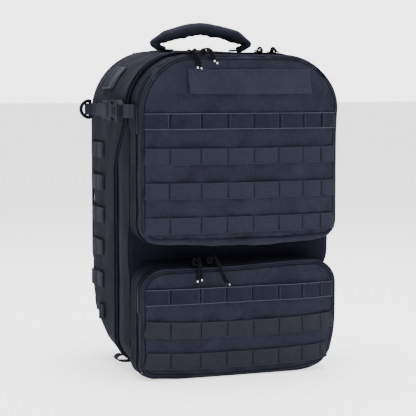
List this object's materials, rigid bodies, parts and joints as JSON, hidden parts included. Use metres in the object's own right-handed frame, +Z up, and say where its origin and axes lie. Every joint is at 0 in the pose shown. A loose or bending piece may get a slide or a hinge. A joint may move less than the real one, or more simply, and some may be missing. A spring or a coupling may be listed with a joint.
{
  "type": "trauma backpack",
  "caption": "Clamshell medical backpack with webbed front pockets, corded zip pulls, side buckles, a padded grip and a back harness.",
  "frame": {"origin": "on the underside of the base, on the centre line, where the bag stands", "axes": "+Z up, -Y out of the front pockets, +X to the viewer's right seen from the front"},
  "size_m": [0.3606, 0.2868, 0.5258],
  "materials": {
    "fabric": "coated woven nylon, dark navy black",
    "webbing": "woven nylon tape, 25.4 mm",
    "loop_tape": "plain woven flap with a stitched edge",
    "zip_tape": "coil zip tape",
    "spacer_mesh": "padded spacer mesh",
    "plastic": "moulded acetal",
    "frame_sheet": "polyethylene sheet",
    "rubber": "ribbed moulded rubber, half gloss",
    "dark_metal": "black coated zinc or steel",
    "cord": "braided cord with moulded pale tips"
  },
  "bodies": {
    "rear_body": {"rear_shell": "fabric", "main_zip_rear_tape": "zip_tape", "back_pad": "spacer_mesh", "lumbar_pad": "spacer_mesh", "frame_sheet": "frame_sheet", "divider_shelf": "fabric", "side_webbing_left": "webbing", "side_webbing_right": "webbing", "side_strap_left": "webbing", "side_strap_right": "webbing", "zip_end_loop_left": "webbing", "zip_end_loop_right": "webbing"},
    "front_lid": {"lid_shell": "fabric", "main_zip_lid_tape": "zip_tape", "upper_pocket_gusset": "fabric", "upper_zip_gusset_tape": "zip_tape", "upper_pocket_panel": "fabric", "upper_webbing_rows_2_to_4": "webbing", "lower_pocket_gusset": "fabric", "lower_zip_gusset_tape": "zip_tape", "lower_pocket_panel": "fabric", "lower_webbing_rows_2_to_3": "webbing", "side_buckle_female_left": "plastic", "side_buckle_female_right": "plastic"},
    "upper_mouth": {"upper_pocket_flap": "fabric", "upper_zip_flap_tape": "zip_tape", "upper_webbing_row_1": "webbing"},
    "lower_mouth": {"lower_pocket_flap": "fabric", "lower_zip_flap_tape": "zip_tape", "lower_webbing_row_1": "webbing"},
    "id_cover": {"id_flap": "loop_tape"},
    "carry_handle": {"handle_webbing": "webbing", "handle_grip": "fabric"},
    "port_cover": {"tube_port": "rubber"},
    "upper_left_slider_body": {"upper_left_slider": "dark_metal"},
    "upper_left_pull_body": {"upper_left_pull": "cord"},
    "upper_right_slider_body": {"upper_right_slider": "dark_metal"},
    "upper_right_pull_body": {"upper_right_pull": "cord"},
    "lower_left_slider_body": {"lower_left_slider": "dark_metal"},
    "lower_left_pull_body": {"lower_left_pull": "cord"},
    "lower_right_slider_body": {"lower_right_slider": "dark_metal"},
    "lower_right_pull_body": {"lower_right_pull": "cord"},
    "main_left_slider_body": {"main_left_slider": "dark_metal"},
    "main_left_pull_body": {"main_left_pull": "cord"},
    "main_right_slider_body": {"main_right_slider": "dark_metal"},
    "main_right_pull_body": {"main_right_pull": "cord"},
    "side_buckle_male_left_body": {"side_buckle_male_left": "plastic"},
    "d_ring_left_body": {"d_ring_left": "dark_metal"},
    "shoulder_strap_left_body": {"shoulder_strap_left": "spacer_mesh", "ladder_lock_left": "plastic", "sternum_strap_left": "webbing", "lower_strap_left": "webbing"},
    "side_buckle_male_right_body": {"side_buckle_male_right": "plastic"},
    "d_ring_right_body": {"d_ring_right": "dark_metal"},
    "shoulder_strap_right_body": {"shoulder_strap_right": "spacer_mesh", "ladder_lock_right": "plastic", "sternum_strap_right": "webbing", "lower_strap_right": "webbing"}
  },
  "joints": [
    {"name": "lid_hinge", "type": "hinge", "parent": "rear_body", "child": "front_lid", "pos_m": [0, -0.012, 0], "axis": [1, 0, 0], "range_deg": [0, 100]},
    {"name": "upper_mouth_hinge", "type": "hinge", "parent": "front_lid", "child": "upper_mouth", "pos_m": [0, -0.125, 0.354], "axis": [1, 0, 0], "range_deg": [0, 100]},
    {"name": "lower_mouth_hinge", "type": "hinge", "parent": "front_lid", "child": "lower_mouth", "pos_m": [0, -0.125, 0.09], "axis": [1, 0, 0], "range_deg": [0, 80]},
    {"name": "id_cover_hinge", "type": "hinge", "parent": "upper_mouth", "child": "id_cover", "pos_m": [0.012, -0.126, 0.451], "axis": [-1, 0, 0], "range_deg": [0, 90]},
    {"name": "upper_left_slider_travel", "type": "hinge", "parent": "upper_mouth", "child": "upper_left_slider_body", "pos_m": [-0.069, -0.113, 0.383], "axis": [0, -1, 0], "range_deg": [0, 70]},
    {"name": "upper_right_slider_travel", "type": "slide", "parent": "upper_mouth", "child": "upper_right_slider_body", "axis": [1, 0, 0], "range_m": [0, 0.126]},
    {"name": "lower_left_slider_travel", "type": "slide", "parent": "lower_mouth", "child": "lower_left_slider_body", "axis": [-1, 0, 0], "range_m": [0, 0.053]},
    {"name": "lower_right_slider_travel", "type": "slide", "parent": "lower_mouth", "child": "lower_right_slider_body", "axis": [1, 0, 0], "range_m": [0, 0.163]},
    {"name": "main_left_slider_travel", "type": "slide", "parent": "rear_body", "child": "main_left_slider_body", "axis": [-1, 0, 0], "range_m": [0, 0.126]},
    {"name": "main_right_slider_travel", "type": "hinge", "parent": "rear_body", "child": "main_right_slider_body", "pos_m": [0.074, -0.066, 0.39], "axis": [0, 1, 0], "range_deg": [0, 70]},
    {"name": "upper_left_pull_swing", "type": "hinge", "parent": "upper_left_slider_body", "child": "upper_left_pull_body", "pos_m": [-0.069, -0.113, 0.4802], "axis": [-1, 0, 0], "range_deg": [0, 100]},
    {"name": "upper_right_pull_swing", "type": "hinge", "parent": "upper_right_slider_body", "child": "upper_right_pull_body", "pos_m": [-0.057, -0.113, 0.4802], "axis": [-1, 0, 0], "range_deg": [0, 100]},
    {"name": "lower_left_pull_swing", "type": "hinge", "parent": "lower_left_slider_body", "child": "lower_left_pull_body", "pos_m": [-0.066, -0.113, 0.1742], "axis": [-1, 0, 0], "range_deg": [0, 100]},
    {"name": "lower_right_pull_swing", "type": "hinge", "parent": "lower_right_slider_body", "child": "lower_right_pull_body", "pos_m": [-0.044, -0.113, 0.1742], "axis": [-1, 0, 0], "range_deg": [0, 100]},
    {"name": "main_left_pull_swing", "type": "hinge", "parent": "main_left_slider_body", "child": "main_left_pull_body", "pos_m": [0.052, -0.066, 0.4832], "axis": [-1, 0, 0], "range_deg": [0, 85]},
    {"name": "main_right_pull_swing", "type": "hinge", "parent": "main_right_slider_body", "child": "main_right_pull_body", "pos_m": [0.074, -0.066, 0.4832], "axis": [-1, 0, 0], "range_deg": [0, 85]},
    {"name": "handle_lean", "type": "hinge", "parent": "rear_body", "child": "carry_handle", "pos_m": [0, 0.04, 0.4833], "axis": [1, 0, 0], "range_deg": [-9, 20]},
    {"name": "port_cover_lift", "type": "hinge", "parent": "rear_body", "child": "port_cover", "pos_m": [-0.1303, 0.0425, 0.4538], "axis": [0, 1, 0], "range_deg": [0, 25]},
    {"name": "side_buckle_left_release", "type": "slide", "parent": "rear_body", "child": "side_buckle_male_left_body", "axis": [0, 1, 0], "range_m": [0, 0.04]},
    {"name": "d_ring_left_swing", "type": "hinge", "parent": "rear_body", "child": "d_ring_left_body", "pos_m": [-0.1632, 0.108, 0.389], "axis": [0, 0, -1], "range_deg": [-60, 85]},
    {"name": "shoulder_strap_left_swing", "type": "hinge", "parent": "rear_body", "child": "shoulder_strap_left_body", "pos_m": [-0.05, 0.128, 0.473], "axis": [1, 0, 0], "range_deg": [0, 25]},
    {"name": "side_buckle_right_release", "type": "slide", "parent": "rear_body", "child": "side_buckle_male_right_body", "axis": [0, 1, 0], "range_m": [0, 0.04]},
    {"name": "d_ring_right_swing", "type": "hinge", "parent": "rear_body", "child": "d_ring_right_body", "pos_m": [0.1632, 0.108, 0.389], "axis": [0, 0, 1], "range_deg": [-60, 85]},
    {"name": "shoulder_strap_right_swing", "type": "hinge", "parent": "rear_body", "child": "shoulder_strap_right_body", "pos_m": [0.05, 0.128, 0.473], "axis": [1, 0, 0], "range_deg": [0, 25]}
  ]
}
